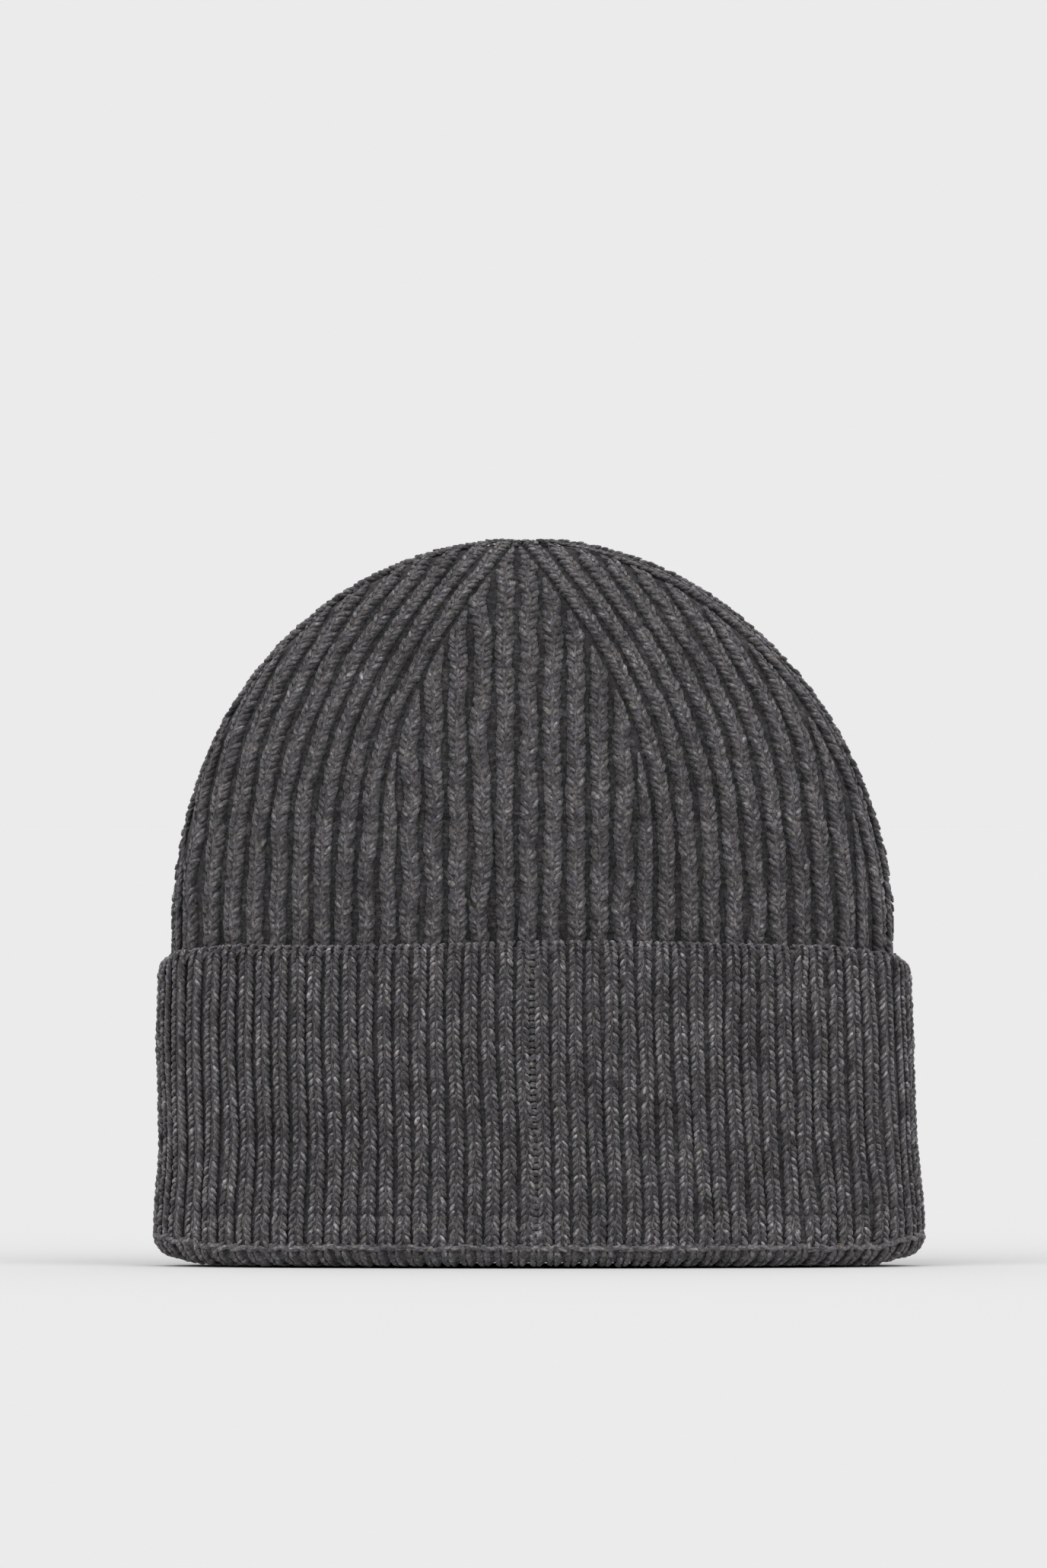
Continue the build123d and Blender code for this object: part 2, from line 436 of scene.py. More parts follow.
def knit(strands, rib, start, end, stitch):
    """Knits the wale of a rib between two distances along it. A stitch's legs meet at its foot
    and spread ahead."""
    number = int(round((end - start) / stitch.course))
    if number < 1:
        return
    foot = np.tile(start + stitch.course * (np.arange(number) + 0.5), 2)
    side = np.repeat([-1.0, 1.0], number)
    count = len(foot)
    width = rib.width_at(foot)
    uneven = stitch.uneven
    foot = foot + rng.normal(0, FOOT_SPREAD * uneven, count) * stitch.course
    stray = rng.normal(0, STRAY_SPREAD * uneven, count) * width
    lift = rng.normal(0, LIFT_SPREAD * uneven, count)
    slim = slimness(stitch, width)
    length = stitch.course * stitch.reach * slim**0.5
    reach = length * rng.normal(1, SIZE_SPREAD * uneven, count)
    outer = stitch.outer * rng.normal(1, OUTER_SPREAD * uneven, count)

    def along(t):
        return foot[:, None] + reach[:, None] * (t[None, :] - 0.5)

    def aside(t):
        opening = np.clip(t, 0, 1.2)[None, :] ** 0.85
        spread = stitch.inner + (outer - stitch.inner)[:, None] * opening
        return stray[:, None] + (side * width)[:, None] * spread

    def out(t):
        arch = np.sin(math.pi * np.clip(0.1 + 0.8 * t, 0, 1)) - np.clip(t - 0.5, 0, 1)
        return -stitch.sink + (stitch.arch * arch[None, :] + lift[:, None]) * slim[:, None]

    size = rng.normal(1, SIZE_SPREAD * uneven, count)
    thick = (stitch.course * stitch.slim * size * slim**0.5, stitch.deep * size * slim)
    tones = rng.normal(0, 0.8, count) + rng.exponential(0.5, count) - 0.5
    add_yarns(strands, rib, along, aside, out, thick, tones, stitch.crown, stitch.shade)


CORE_SPACING = 3.0  # between the rings of a ridge
CORE_ROUND = np.array([-0.5, -0.4, -0.2, 0.0, 0.2, 0.4, 0.5])  # its seven outer corners
CORE_FOOT = np.array([0.2, -0.2])  # its two inner corners
CORE_DEPTH = 1.2
# painted shade: the ridge under the stitches is dimmed
CORE_SHADE_TONE = -0.7


def knit_rib(strands, rib, start, end, stitch):
    """The stitches of a rib and, under them, a rounded ridge, so that nothing shows between. The
    ridge carries painted shade, as it lies under the stitches.
    """
    knit(strands, rib, start, end, stitch)
    number = max(2, int((end - start) / CORE_SPACING))
    along = np.linspace(start, end, number)
    width = rib.width_at(along)[:, None]
    slim = slimness(stitch, width)
    reach = stitch.outer * 2
    top = -stitch.sink - stitch.core * slim
    outer, inner = len(CORE_ROUND), len(CORE_FOOT)
    corners = outer + inner
    aside = np.concatenate([width * reach * CORE_ROUND, width * CORE_FOOT], 1)
    out = np.concatenate([np.repeat(top, outer, 1), np.repeat(top - CORE_DEPTH * slim, inner, 1)], 1)
    line = np.repeat(along[:, None], corners, 1)
    points = rib.place(line, aside, out, stitch.crown)
    quads = []
    for ring in range(number - 1):
        for corner in range(corners):
            near = ring * corners + corner
            beside = ring * corners + (corner + 1) % corners
            quads.append((near, beside, beside + corners, near + corners))
    last = (number - 1) * corners
    cap = np.array([(0, 1, 2, 8), (2, 3, 7, 8), (3, 4, 5, 7)])  # an end of the ridge, by corner
    quads = np.concatenate([np.array(quads), cap[:, ::-1], cap + last])
    tris = np.array([(7, 6, 5), (last + 5, last + 6, last + 7)])
    fibres = np.stack([line, aside, out], -1)
    strands.add(points.reshape(1, -1, 3), quads, tris, CORE_SHADE_TONE, fibres.reshape(1, -1, 3))


RIPPLE = 0.45  # how far the inner face of a slab waves in and out


def grid_quads(rows, columns, closed=False):
    """The faces between the points of a grid, and round again where it is closed."""
    quads = []
    for row in range(rows - 1):
        for column in range(columns if closed else columns - 1):
            near = row * columns + column
            beside = row * columns + (column + 1) % columns
            quads.append((near, beside, beside + columns, near + columns))
    return quads


def slab_quads(rows, columns, closed=False):
    """Both faces of a slab, the first facing out, and the walls round its borders."""
    total = rows * columns
    quads = []
    for near, beside, beside_ahead, ahead in grid_quads(rows, columns, closed):
        quads.append((near, beside, beside_ahead, ahead))
        quads.append((ahead + total, beside_ahead + total, beside + total, near + total))
    last_row = (rows - 1) * columns
    for column in range(columns if closed else columns - 1):
        beside = (column + 1) % columns
        last, last_beside = last_row + column, last_row + beside
        quads.append((beside, column, column + total, beside + total))
        quads.append((last, last_beside, last_beside + total, last + total))
    if not closed:
        for row in range(rows - 1):
            left = row * columns
            right = left + columns - 1
            quads.append((left, left + columns, left + columns + total, left + total))
            quads.append((right + columns, right, right + total, right + columns + total))
    return np.array(quads)


def add_slab(strands, surface, grid, depths, ribs, tones):
    """A closed layer of fabric between two depths. grid is (shares, levels), and the second
    face waves for each of so many ribs round the whole girth. The first is the outer one where
    the levels run upwards. Each face has its tone of painted shade, deepest where it lies in
    the grooves between ribs."""
    shares, levels = grid
    closed = np.allclose(shares[:, -1] - shares[:, 0], 1)
    if closed:
        shares, levels = shares[:, :-1], levels[:, :-1]
    normal = surface_normal(surface, shares, levels)
    base = surface(shares, levels)
    wave = RIPPLE * np.cos(2 * math.pi * shares * ribs)
    top = base + normal * depths[0]
    under = base + normal * (depths[1] + wave)[..., None]
    points = np.concatenate([top.reshape(-1, 3), under.reshape(-1, 3)])
    quads = slab_quads(*shares.shape, closed)
    strands.add(points[None], quads, NO_TRIS, np.repeat(tones, shares.size))


# ---- materials
WARM = (1.27, 1.19, 1.03)  # tints of the middle fibre
COOL = (0.77, 0.785, 0.96)


def wool(name, fibres, matted, varied, relief=0.5):
    """Heather wool: dark and middle fibres with light ones among them, all running along the
    yarn, a tone for each stitch that also carries the painted shade of rib sides and grooves,
    a slow drift over the fabric, and the fibres in relief.
    fibres are the three colours, matted is the strength of the flecks that run across the
    stitches, and varied is how much the tone of a stitch counts."""
    dark, middle, light = fibres
    material = bpy.data.materials.new(name)
    material.use_nodes = True
    nodes, links = material.node_tree.nodes, material.node_tree.links
    shader = nodes["Principled BSDF"]
    shader.inputs["Roughness"].default_value = 0.95
    shader.inputs["Specular IOR Level"].default_value = 0.15
    shader.inputs["Sheen Weight"].default_value = 0.25
    shader.inputs["Sheen Roughness"].default_value = 0.5
    shader.inputs["Sheen Tint"].default_value = (0.85, 0.85, 0.9, 1)
    place = nodes.new("ShaderNodeTexCoord")
    fibre = nodes.new("ShaderNodeAttribute")
    fibre.attribute_name = "fibre"
    along = nodes.new("ShaderNodeMapping")
    along.inputs["Scale"].default_value = (0.55, 1.1, 1.0)
    along.inputs["Rotation"].default_value = (0.0, 0.0, 0.35)
    links.new(fibre.outputs["Vector"], along.inputs["Vector"])

    def noise(vector, scale, detail=2.0, rough=0.55):
        node = nodes.new("ShaderNodeTexNoise")
        node.inputs["Scale"].default_value = scale
        node.inputs["Detail"].default_value = detail
        node.inputs["Roughness"].default_value = rough
        links.new(vector, node.inputs["Vector"])
        return node.outputs["Fac"]

    def ramp(value, low, high, bottom=0.0, top=1.0):
        node = nodes.new("ShaderNodeMapRange")
        node.inputs["From Min"].default_value = low
        node.inputs["From Max"].default_value = high
        node.inputs["To Min"].default_value = bottom
        node.inputs["To Max"].default_value = top
        links.new(value, node.inputs["Value"])
        return node.outputs["Result"]

    def mix(factor, first, second):
        node = nodes.new("ShaderNodeMix")
        node.data_type = "RGBA"
        links.new(factor, node.inputs["Factor"])
        for socket, colour in ((node.inputs["A"], first), (node.inputs["B"], second)):
            if isinstance(colour, tuple):
                socket.default_value = (*colour, 1)
            else:
                links.new(colour, socket)
        return node.outputs["Result"]

    def maths(operation, first, second):
        node = nodes.new("ShaderNodeMath")
        node.operation = operation
        for socket, value in zip(node.inputs, (first, second)):
            if isinstance(value, float):
                socket.default_value = value
            else:
                links.new(value, socket)
        return node.outputs["Value"]

    strand = along.outputs["Vector"]
    cloth = place.outputs["Object"]
    colour = mix(ramp(noise(strand, 1.5, 3.0), 0.4, 0.6), dark, middle)
    warm = tuple(part * factor for part, factor in zip(middle, WARM))
    cool = tuple(part * factor for part, factor in zip(middle, COOL))
    colour = mix(ramp(noise(cloth, 620, 1.0), 0.56, 0.68, 0.0, 0.75), colour, warm)
    colour = mix(ramp(noise(cloth, 480, 1.0), 0.57, 0.68, 0.0, 0.75), colour, cool)
    flecks = ramp(noise(strand, 1.1, 3.0, 0.62), 0.5, 0.68)
    colour = mix(flecks, colour, light)
    drift = ramp(noise(cloth, 85, 4.0, 0.65), 0.3, 0.7, 0.62, 1.37)
    tone = nodes.new("ShaderNodeAttribute")
    tone.attribute_name = "tone"
    stitch = maths("MULTIPLY_ADD", tone.outputs["Fac"], varied)
    stitch.node.inputs[2].default_value = 1.0
    bright = nodes.new("ShaderNodeVectorMath")
    bright.operation = "SCALE"
    links.new(colour, bright.inputs[0])
    mottle = ramp(noise(cloth, 950, 2.5, 0.6), 0.34, 0.66, 1 - matted, 1 + matted)
    level = maths("MULTIPLY", maths("MULTIPLY", drift, stitch), mottle)
    links.new(level, bright.inputs["Scale"])
    links.new(bright.outputs["Vector"], shader.inputs["Base Color"])
    height = maths("ADD", noise(strand, 3.0, 3.0, 0.7), noise(cloth, 1900, 3.0, 0.7))
    bump = nodes.new("ShaderNodeBump")
    bump.inputs["Strength"].default_value = relief
    bump.inputs["Distance"].default_value = 0.18 * MM
    links.new(height, bump.inputs["Height"])
    links.new(bump.outputs["Normal"], shader.inputs["Normal"])
    return material


CUFF_FIBRES = ((0.0389, 0.0355, 0.0383), (0.09, 0.0842, 0.0874), (0.238, 0.2316, 0.232))
CROWN_FIBRES = ((0.0416, 0.0381, 0.0408), (0.0888, 0.0827, 0.0857), (0.1765, 0.17, 0.171))
# The cuff's backing, which shows in its grooves, has the same wool in dimmer colours: painted shade.
SHADED_GROUND_FIBRES = ((0.031, 0.0288, 0.0308), (0.071, 0.0665, 0.0699), (0.14, 0.137, 0.139))
THREAD_FIBRES = ((0.04, 0.039, 0.041), (0.1, 0.096, 0.1), (0.28, 0.27, 0.28))
stitch_wool = wool("stitch_wool", CUFF_FIBRES, matted=0.2, varied=0.23)
crown_wool = wool("crown_wool", CROWN_FIBRES, matted=0.4, varied=0.2, relief=0.35)
shaded_ground_wool = wool("shaded_ground_wool", SHADED_GROUND_FIBRES, matted=0.3, varied=0.2)
thread_wool = wool("thread_wool", THREAD_FIBRES, matted=0.1, varied=0.27)


def tape_material():
    """Woven satin tape: fine ribs across a dark cloth."""
    material = bpy.data.materials.new("label_tape")
    material.use_nodes = True
    nodes, links = material.node_tree.nodes, material.node_tree.links
    shader = nodes["Principled BSDF"]
    shader.inputs["Roughness"].default_value = 0.5
    place = nodes.new("ShaderNodeTexCoord")
    wave = nodes.new("ShaderNodeTexWave")
    wave.bands_direction = "Z"
    wave.inputs["Scale"].default_value = 700
    wave.inputs["Distortion"].default_value = 0.6
    links.new(place.outputs["Object"], wave.inputs["Vector"])
    ramp = nodes.new("ShaderNodeValToRGB")
    ramp.color_ramp.elements[0].color = (0.012, 0.012, 0.013, 1)
    ramp.color_ramp.elements[1].color = (0.03, 0.03, 0.032, 1)
    links.new(wave.outputs["Fac"], ramp.inputs["Fac"])
    links.new(ramp.outputs["Color"], shader.inputs["Base Color"])
    bump = nodes.new("ShaderNodeBump")
    bump.inputs["Strength"].default_value = 0.4
    bump.inputs["Distance"].default_value = 0.1 * MM
    links.new(wave.outputs["Fac"], bump.inputs["Height"])
    links.new(bump.outputs["Normal"], shader.inputs["Normal"])
    return material


tape = tape_material()

# ---- body and crown
CENTRE_PITCH = BODY_OVAL.girth / BODY_RIBS
SIDE_PITCH = 6.2  # a side rib keeps this width once the decreases begin
DOME_END = 0.962  # how far up the dome the ribs run, as a share of it
RIB_END = 0.3  # a rib ends where it has narrowed to this share of its width
TUBE_LEVELS = np.arange(TUBE_START, DOME_BASE, 2.0)
DOME_LEVELS = DOME_BASE + DOME_RISE * np.linspace(0, DOME_END, 130) * math.pi / 2
LEVELS = np.concatenate([TUBE_LEVELS, DOME_LEVELS])


def half_girth(level):
    return BODY_OVAL.girth / 4 * crown_taper(level)


def soft_least(first, second, blend):
    """The smaller of two values, with an even change from one to the other."""
    return -blend * np.logaddexp(-np.asarray(first) / blend, -np.asarray(second) / blend)


def dart_line(level):
    """Distance from the centre groove to the dart: the centre ribs fit inside it."""
    return soft_least(CENTRE_RIBS * CENTRE_PITCH, DART_SPAN * crown_taper(level) ** 2, 4.0)


def side_pitch(level):
    room = half_girth(level) - dart_line(level)
    kept = soft_least(SIDE_PITCH, room / 2, 0.4)
    return -soft_least(-room / SIDE_RIBS, -kept, 0.25)


def groove_shift(level):
    """Share of the girth by which the ribs are turned, so that the centre groove stays upright."""
    taper = np.maximum(crown_taper(level), 0.08)
    return (GROOVE_X - crown_lean(level)) / (BODY_OVAL.girth * taper)


def crown_share(quarter, distance, level):
    """Share of the girth of a point at a distance from the front or back groove."""
    taper = np.maximum(crown_taper(level), 0.02)
    away = distance / (BODY_OVAL.girth * taper)
    middle = 0.0 if quarter.startswith("front") else 0.5
    facing = 1 if quarter in ("front_right", "back_left") else -1
    return middle + facing * away + groove_shift(level)


def crown_rib(quarter, low, high):
    """A rib between two distances from the groove, up to where it has been decreased away."""
    width = high - low
    kept = width > RIB_END * width[0]
    last = len(kept) if kept.all() else int(np.argmin(kept))
    if last < 3:
        return None
    sway = rng.normal(0, 0.045, 2)
    waves = sway[0] * np.sin(LEVELS / 9 + 7 * sway[1]) + sway[1] * np.sin(LEVELS / 4 + 50 * sway[0])
    middle = (low + high) / 2 + width * waves
    share = crown_share(quarter, middle, LEVELS)
    width_share = width / (BODY_OVAL.girth * np.maximum(crown_taper(LEVELS), 0.02))
    return Rib(crown_surface, share[:last], LEVELS[:last], width_share[:last])


QUARTERS = ("front_right", "front_left", "back_right", "back_left")
body = {quarter: Strands() for quarter in QUARTERS}
gores = {name: Strands() for name in ("front", "back") + QUARTERS}
darts = {name: Strands() for name in QUARTERS + ("right", "left")}


def quarter_ribs(quarter):
    """The ribs from the centre groove to the side, each with the piece above the tube that it
    runs into: a gore, or the decrease line along the first and the last of the side ribs."""
    face, hand = quarter.split("_")
    dart = dart_line(LEVELS)
    side = half_girth(LEVELS)
    pitch = side_pitch(LEVELS)
    outer_rib = np.minimum(pitch, (side - dart) / 2)
    ribs = []
    for number in range(CENTRE_RIBS):
        low = number * CENTRE_PITCH + np.zeros(len(LEVELS))
        high = np.minimum(low + CENTRE_PITCH, dart)
        ribs.append((gores[face], crown_rib(quarter, low, high)))
    for number in range(SIDE_RIBS - 1):
        low = dart + number * pitch
        high = np.minimum(low + pitch, side - outer_rib)
        upper = darts[quarter] if number == 0 else gores[quarter]
        ribs.append((upper, crown_rib(quarter, low, high)))
    ribs.append((darts[hand], crown_rib(quarter, side - outer_rib, side)))
    return [(upper, rib) for upper, rib in ribs if rib is not None]


for quarter in QUARTERS:
    for upper, rib in quarter_ribs(quarter):
        change = float(np.interp(DART_BASE, crown_height(rib.level), rib.distance))
        change = BODY_STITCH.course * round(change / BODY_STITCH.course)
        knit_rib(body[quarter], rib, 0, change, BODY_STITCH)
        knit_rib(upper, rib, change, rib.length, BODY_STITCH)

# ---- ground fabric of the body
GROUND_DEPTHS = (-2.1, -FABRIC + 0.45)  # its outer and inner faces, from the surface
# Painted shade on the ground's outer and inner faces; the outer one shows in the grooves and is the
# dimmest.
GROUND_SHADE_TONES = (-3.4, -0.5)
GROUND_LAP = 0.6  # how far the tube's ground reaches up into the gores'


def band_grid(low, high, levels, columns):
    """Shares and levels of a grid between two lines along the fabric."""
    run = np.linspace(0, 1, columns)
    shares = low[:, None] * (1 - run) + high[:, None] * run
    return shares, np.repeat(levels[:, None], columns, 1)


def ring_grid(levels, columns):
    """The same, once round the hat."""
    return band_grid(np.zeros(len(levels)), np.ones(len(levels)), levels, columns)


ground = Strands()
tube_grid = ring_grid(np.linspace(FOLD_TOP, DART_BASE + GROUND_LAP, 60), 409)
add_slab(ground, crown_surface, tube_grid, GROUND_DEPTHS, BODY_RIBS, GROUND_SHADE_TONES)

first_climb = math.asin((DART_BASE - DOME_BASE) / DOME_RISE)
crown_levels = DOME_BASE + DOME_RISE * np.linspace(first_climb, 1.5, 40)
dart_shares = {name: crown_share(name, dart_line(crown_levels), crown_levels) for name in QUARTERS}
right = crown_share("front_right", half_girth(crown_levels), crown_levels)
left = crown_share("front_left", half_girth(crown_levels), crown_levels)
GORE_SIDES = {
    "front": (dart_shares["front_left"], dart_shares["front_right"]),
    "front_right": (dart_shares["front_right"], right),
    "back_right": (right, dart_shares["back_right"]),
    "back": (dart_shares["back_right"], dart_shares["back_left"]),
    "back_left": (dart_shares["back_left"], left + 1),
    "front_left": (left, dart_shares["front_left"]),
}
gore_grounds = {name: Strands() for name in GORE_SIDES}
for name, (low, high) in GORE_SIDES.items():
    grid = band_grid(low, high, crown_levels, 49)
    add_slab(gore_grounds[name], crown_surface, grid, GROUND_DEPTHS, BODY_RIBS, GROUND_SHADE_TONES)

# ---- closing gather
GATHER_RIBS = 14
GATHER_REACH = 7.5  # how far from the top its ribs begin
GATHER_DIP = 1.5  # how deep the closing yarn draws it in
GATHER_POINTS = 12
TOP = DOME_BASE + DOME_RISE * math.pi / 2


def top_surface(share, level):
    """A small patch round the top of the crown, where level runs in to its middle."""
    radius = np.maximum(TOP - level, 0.0)
    angle = 2 * math.pi * share
    across = crown_lean(TOP) + 1.5 * radius * np.sin(angle)
    dip = GATHER_DIP * np.exp(-((radius / 2.2) ** 2))
    height = CROWN_TOP - 0.5 - 0.012 * radius**2 - dip
    return np.stack(np.broadcast_arrays(across, -0.72 * radius * np.cos(angle), height), -1)


gather = Strands()
gather_levels = np.linspace(TOP - GATHER_REACH, TOP - 0.3, GATHER_POINTS)
for number in range(GATHER_RIBS):
    rib = Rib(top_surface, (number + 0.5) / GATHER_RIBS, gather_levels, 1 / GATHER_RIBS)
    knit_rib(gather, rib, 0, rib.length, BODY_STITCH)

# ---- cuff and fold
CUFF_PATH = np.linspace(-EDGE_ARC, ROLL_START + 0.6, 90)
ROLL_PATH = np.linspace(ROLL_START - 0.4, ROLL_START + 0.86 * ROLL_LENGTH, 26)
EDGE_COURSES = 6  # small stitches that lie over the edge
FLAT_COURSES = 5  # flatter stitches next to the fold
CUFF_GROOVE = CUFF_GROOVE_X / CUFF_OVAL.girth
BACKING_DEPTHS = (-3.2, -2.2)  # the cuff's inner and outer faces, under its ribs
ROLL_DEPTHS = (-2.8, -1.2)  # and those of the fold
# Painted shade on the inner and outer faces of the cuff's backing and of the fold; the outer face
# shows in the grooves and is the dimmest.
LAYER_SHADE_TONES = (-0.5, -1.5)
LAYER_COLUMNS = 401

cuff = {quarter: Strands() for quarter in QUARTERS}
edge = Strands()
fold = Strands()
backing = Strands()


def cuff_quarter(share):
    """The quarter of the cuff that a share of its girth lies in."""
    share = share % 1.0
    face = "front" if share < 0.25 or share > 0.75 else "back"
    return face + ("_right" if share < 0.5 else "_left")


for number in range(CUFF_RIBS):
    share = CUFF_GROOVE + (number + 0.5) / CUFF_RIBS
    slow, quick = rng.normal(0, 0.04, 2) / CUFF_RIBS
    wander = slow * np.sin(CUFF_PATH / 17 + number) + quick * np.sin(CUFF_PATH / 7 + 2 * number)
    rib = Rib(cuff_surface, share + wander, CUFF_PATH, 1 / CUFF_RIBS)
    panel = cuff[cuff_quarter(share)]
    panel_start = EDGE_COURSES * EDGE_STITCH.course
    flat_start = rib.length - FLAT_COURSES * CUFF_STITCH.course
    knit_rib(edge, rib, 0, panel_start, EDGE_STITCH)
    knit_rib(panel, rib, panel_start, flat_start, CUFF_STITCH)
    knit_rib(panel, rib, flat_start, rib.length, FLAT_STITCH)
    rib = Rib(cuff_surface, share + 0.5 / CUFF_RIBS, ROLL_PATH, 1 / CUFF_RIBS)
    knit_rib(fold, rib, 0, rib.length, FOLD_STITCH)

backing_levels = np.linspace(EDGE_ARC, ROLL_START + 0.05 * ROLL_LENGTH, 60)
grid = ring_grid(backing_levels, LAYER_COLUMNS)
add_slab(backing, cuff_surface, grid, BACKING_DEPTHS, CUFF_RIBS, LAYER_SHADE_TONES)
roll_levels = np.linspace(ROLL_START - 1.0, ROLL_START + ROLL_LENGTH, 24)
grid = ring_grid(roll_levels, LAYER_COLUMNS)
add_slab(fold, cuff_surface, grid, ROLL_DEPTHS, CUFF_RIBS, LAYER_SHADE_TONES)


# ---- single rows of yarn
def bulge(t, height):
    """How far a yarn bows out along its length."""
    return height * np.sin(math.pi * np.clip(t, 0, 1))[None, :]


def make_transfer_course():
    """Slanted yarns end to end round the hat, at the top of the fold. Their tone is raised above the
    stitches': a painted highlight along the top of the fold.
    """
    strands = Strands()
    line = Rib(cuff_surface, np.linspace(0, 1, 1601), ROLL_START + 0.2)
    number = CUFF_RIBS * 2
    middle = line.length * (np.arange(number) + 0.5) / number + rng.normal(0, 0.2, number)
    slant = 0.4 * (-1.0) ** np.arange(number) + rng.normal(0, 0.2, number)
    shift = rng.normal(0, 0.22, number)
    lift = rng.normal(-0.7, 0.15, number)
    reach = line.length / number * 1.9
    add_yarns(
        strands, line,
        lambda t: middle[:, None] + reach * (t[None, :] - 0.5),
        lambda t: slant[:, None] * (2 * t[None, :] - 1) + shift[:, None],
        lambda t: lift[:, None] + bulge(t, 0.25),
        (np.full(number, 0.72), np.full(number, 0.5)),
        rng.normal(0.5, 0.6, number),
    )
    return strands


def make_ladder():
    """The rungs of yarn across the cuff's centre groove, where its seam is."""
    strands = Strands()
    rungs = int(CUFF_RUN / CUFF_STITCH.course)
    groove = Rib(cuff_surface, CUFF_GROOVE, CUFF_PATH, 1 / CUFF_RIBS)
    place = 2 * EDGE_ARC + CUFF_STITCH.course * (np.arange(rungs) + 0.5)
    tilt = rng.normal(0, 0.9, rungs)
    depth = rng.normal(-1.0, 0.15, rungs)
    add_yarns(
        strands, groove,
        lambda t: place[:, None] + tilt[:, None] * (t[None, :] - 0.5),
        lambda t: 2.4 * (t[None, :] - 0.5) + 0 * place[:, None],
        lambda t: depth[:, None] + bulge(t, 0.2),
        (np.full(rungs, 0.8), np.full(rungs, 0.4)),
        rng.normal(-1.2, 0.6, rungs),
    )
    return strands


SEAM_HALF_WIDTH = 2.2
SEAM_DEPTHS = (-FABRIC - 1.4, -FABRIC + 0.5)


def make_inside_seam():
    """The seam allowance inside the front: a band with a row of loops along each edge."""
    strands = Strands()
    levels = np.linspace(FOLD_TOP + 1, DOME_BASE + 1.15 * DOME_RISE, 90)
    shares = crown_share("front_right", 0.0, levels)
    seam = Rib(crown_surface, shares, levels, 1 / BODY_RIBS)
    place = np.arange(2.0, seam.length - 2, BODY_STITCH.course)
    number = len(place)
    for hand in (-1, 1):
        reach = hand * (1.35 + rng.normal(0, 0.08, number))
        add_yarns(
            strands, seam,
            lambda t: place[:, None] + 1.9 * (t[None, :] - 0.5),
            lambda t: reach[:, None] * (1.1 - 0.5 * t[None, :]),
            lambda t: -FABRIC - 1.0 - bulge(t, 0.7) + 0 * place[:, None],
            (np.full(number, 0.85), np.full(number, 0.8)),
            rng.normal(0, 1, number),
        )
    half = SEAM_HALF_WIDTH / BODY_OVAL.girth
    grid = band_grid(shares - half, shares + half, levels, 7)
    add_slab(strands, crown_surface, grid, SEAM_DEPTHS, BODY_RIBS, (-0.5, -0.5))
    return strands


course = make_transfer_course()
ladder = make_ladder()
ridge = make_inside_seam()


# ---- label
LABEL_CURL = 0.5  # how far the foot of the label stands off
TACK_THREADS = 15


def make_label():
    """A blank tape that hangs from its tacks and curls a little at the foot."""
    low, high = node_box("care_label")
    rows, columns = 24, 12
    across = np.linspace(low[0], high[0], columns)[None, :]
    down = np.linspace(0, 1, rows)[:, None]
    height = high[2] - (high[2] - low[2]) * down
    curl = LABEL_CURL * down**2 * (1 + 0.3 * np.cos(across / 7))
    layers = []
    for side in (low[1] + 0.05, high[1] - 0.05):
        layer = np.stack(np.broadcast_arrays(across, side + curl, height), -1)
        layers.append(layer.reshape(-1, 3))
    strands = Strands()
    strands.add(np.concatenate(layers)[None], slab_quads(rows, columns), NO_TRIS, 0.0)
    return strands


def make_tacks():
    """Two bar tacks, each a row of short threads side by side."""
    low, high = node_box("label_tacks")
    face = high[1] - 0.15
    middle = (low[2] + high[2]) / 2

    def flat_surface(share, level):
        return np.stack(np.broadcast_arrays(share, face, level), -1)

    strands = Strands()
    for centre in (low[0] + 3, high[0] - 3):
        flat = Rib(flat_surface, np.linspace(-20, 20, 5) + centre, middle)
        place = np.linspace(-2.8, 2.8, TACK_THREADS) + flat.length / 2
        add_yarns(
            strands, flat,
            lambda t: place[:, None] + 0.15 * t[None, :],
            lambda t: 1.6 * (t[None, :] - 0.5) + 0 * place[:, None],
            lambda t: bulge(t, 0.12) + 0 * place[:, None],
            (np.full(TACK_THREADS, 0.22), np.full(TACK_THREADS, 0.2)),
            rng.normal(0, 1, TACK_THREADS),
        )
    return strands


# ---- pieces on their bodies
def make_piece(strands, name, material, node):
    """A piece with its material, which stands in for a CAD node and hides it."""
    piece = strands.build(name, material)
    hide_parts(node)
    return piece


def gore_flat(name):
    """A gore's widest width and its length, in metres, and its flat area in square metres."""
    low, high = GORE_SIDES[name]
    middle = (low + high) / 2
    length = np.linalg.norm(np.diff(crown_surface(middle, crown_levels), axis=0), axis=-1)
    edges = crown_surface(low, crown_levels), crown_surface(high, crown_levels)
    halves = [np.linalg.norm(edge - crown_surface(middle, crown_levels), axis=-1) for edge in edges]
    width = sum(halves)
    area = float(np.sum((width[1:] + width[:-1]) / 2 * length))
    return (float(width.max()) * MM, float(length.sum()) * MM), area * MM * MM


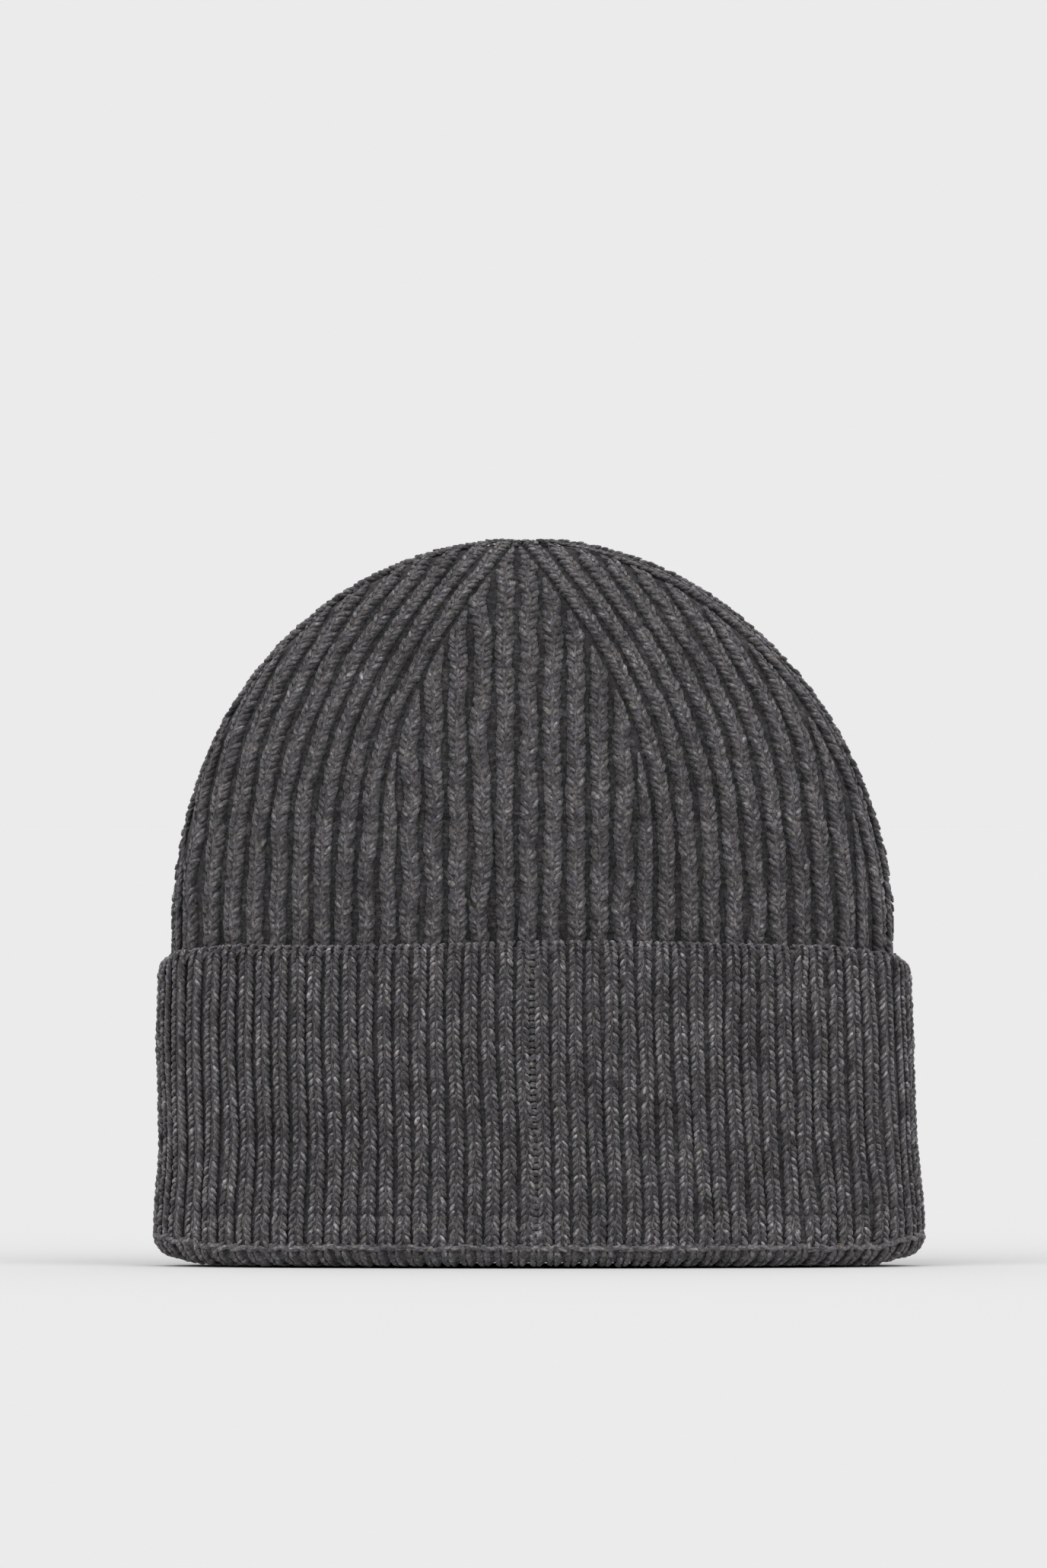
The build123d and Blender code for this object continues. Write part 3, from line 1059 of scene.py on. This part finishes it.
piece = make_piece(ground, "body_ground", crown_wool, "body_tube")
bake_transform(piece)
ribs = []
for name in QUARTERS:
    rib_piece = make_piece(body[name], f"body_ribs_{name}", crown_wool, "body_tube")
    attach(rib_piece, "crown")
    ribs.append(rib_piece)
for name, strands in gores.items():
    ribs = make_piece(strands, f"crown_gore_{name}", crown_wool, f"gore_{name}")
    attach(ribs, "crown")
    strands = gore_grounds[name]
    piece = make_piece(strands, f"crown_ground_{name}", crown_wool, f"gore_{name}")
    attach(piece, "crown")
    flat, area = gore_flat(name)
for name, strands in darts.items():
    piece = make_piece(strands, f"crown_dart_{name}", crown_wool, f"dart_seam_{name}")
    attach(piece, "crown")
piece = make_piece(gather, "closing_gather", crown_wool, "crown_gather")
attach(piece, "crown")
piece = make_piece(ridge, "inside_seam", stitch_wool, "body_seam")
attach(piece, "crown")
ribs = []
for name in QUARTERS:
    rib_piece = make_piece(cuff[name], f"cuff_ribs_{name}", stitch_wool, "cuff_panel")
    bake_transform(rib_piece)
    ribs.append(rib_piece)
piece = make_piece(backing, "cuff_backing", shaded_ground_wool, "cuff_panel")
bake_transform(piece)
piece = make_piece(ladder, "cuff_ladder", stitch_wool, "cuff_seam")
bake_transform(piece)
piece = make_piece(edge, "cast_on_edge", stitch_wool, "cuff_edge")
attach(piece, "hem")
piece = make_piece(fold, "fold_roll", crown_wool, "brim_fold")
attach(piece, "fold")
piece = make_piece(course, "transfer_course", crown_wool, "fold_course")
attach(piece, "fold")
label = make_piece(make_label(), "label_sheet", tape, "care_label")
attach(label, "crown")
tacks = make_piece(make_tacks(), "label_bar_tacks", thread_wool, "label_tacks")
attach(tacks, "crown")


# ---- camera, floor and light
FRAME_HEIGHT = 443.5  # height of the view where the hat stands
VIEW_DISTANCE = 6000.0  # far off, because the hat shows almost no perspective
VIEW_ACROSS = -4.4
VIEW_HEIGHT = 136.3
SENSOR = 36.0
camera_data = bpy.data.cameras.new("camera")
camera = bpy.data.objects.new("camera", camera_data)
bpy.context.scene.collection.objects.link(camera)
camera.location = Vector((VIEW_ACROSS, -VIEW_DISTANCE, VIEW_HEIGHT)) * MM
camera.rotation_euler = (math.pi / 2, 0, 0)
camera_data.sensor_fit = "VERTICAL"
camera_data.sensor_height = SENSOR
camera_data.lens = SENSOR * VIEW_DISTANCE / FRAME_HEIGHT
camera_data.clip_end = 200
bpy.context.scene.camera = camera

BACKDROP = 0.83  # brightness of the studio, which the lit floor matches
FLOOR_SHADE = 0.55
world = bpy.data.worlds.new("studio")
world.use_nodes = True
world.node_tree.nodes["Background"].inputs["Color"].default_value = (BACKDROP, BACKDROP, BACKDROP, 1)
bpy.context.scene.world = world

# Soft lights, each with the direction that it comes from and its share of the power
SUNS = ((-0.6, -0.8, 0.9, 0.95), (0.7, -0.65, 0.75, 0.8), (0.0, -0.2, 1.0, 0.7))
LIGHT_SPREAD = math.radians(50)
floor_light = math.pi * BACKDROP * (1 - FLOOR_SHADE) / FLOOR_SHADE
share_sum = sum(power * Vector((x, y, z)).normalized().z for x, y, z, power in SUNS)
for number, (x, y, z, power) in enumerate(SUNS):
    data = bpy.data.lights.new(f"soft_light_{number}", "SUN")
    data.energy = power * floor_light / share_sum
    data.angle = LIGHT_SPREAD
    lamp = bpy.data.objects.new(f"soft_light_{number}", data)
    lamp.rotation_euler = Vector((x, y, z)).to_track_quat("Z", "Y").to_euler()
    bpy.context.scene.collection.objects.link(lamp)

FAR = 60.0  # half the floor, in metres
floor_mesh = bpy.data.meshes.new("floor")
floor_corners = [(-FAR, -FAR, 0), (FAR, -FAR, 0), (FAR, FAR, 0), (-FAR, FAR, 0)]
floor_mesh.from_pydata(floor_corners, [], [(0, 1, 2, 3)])
floor = bpy.data.objects.new("floor", floor_mesh)
bpy.context.scene.collection.objects.link(floor)
floor_material = bpy.data.materials.new("floor")
floor_material.use_nodes = True
floor_shader = floor_material.node_tree.nodes["Principled BSDF"]
floor_shader.inputs["Base Color"].default_value = (FLOOR_SHADE, FLOOR_SHADE, FLOOR_SHADE, 1)
floor_shader.inputs["Roughness"].default_value = 1.0
floor_shader.inputs["Specular IOR Level"].default_value = 0.0
floor_mesh.materials.append(floor_material)
bpy.context.scene.view_settings.view_transform = "Standard"
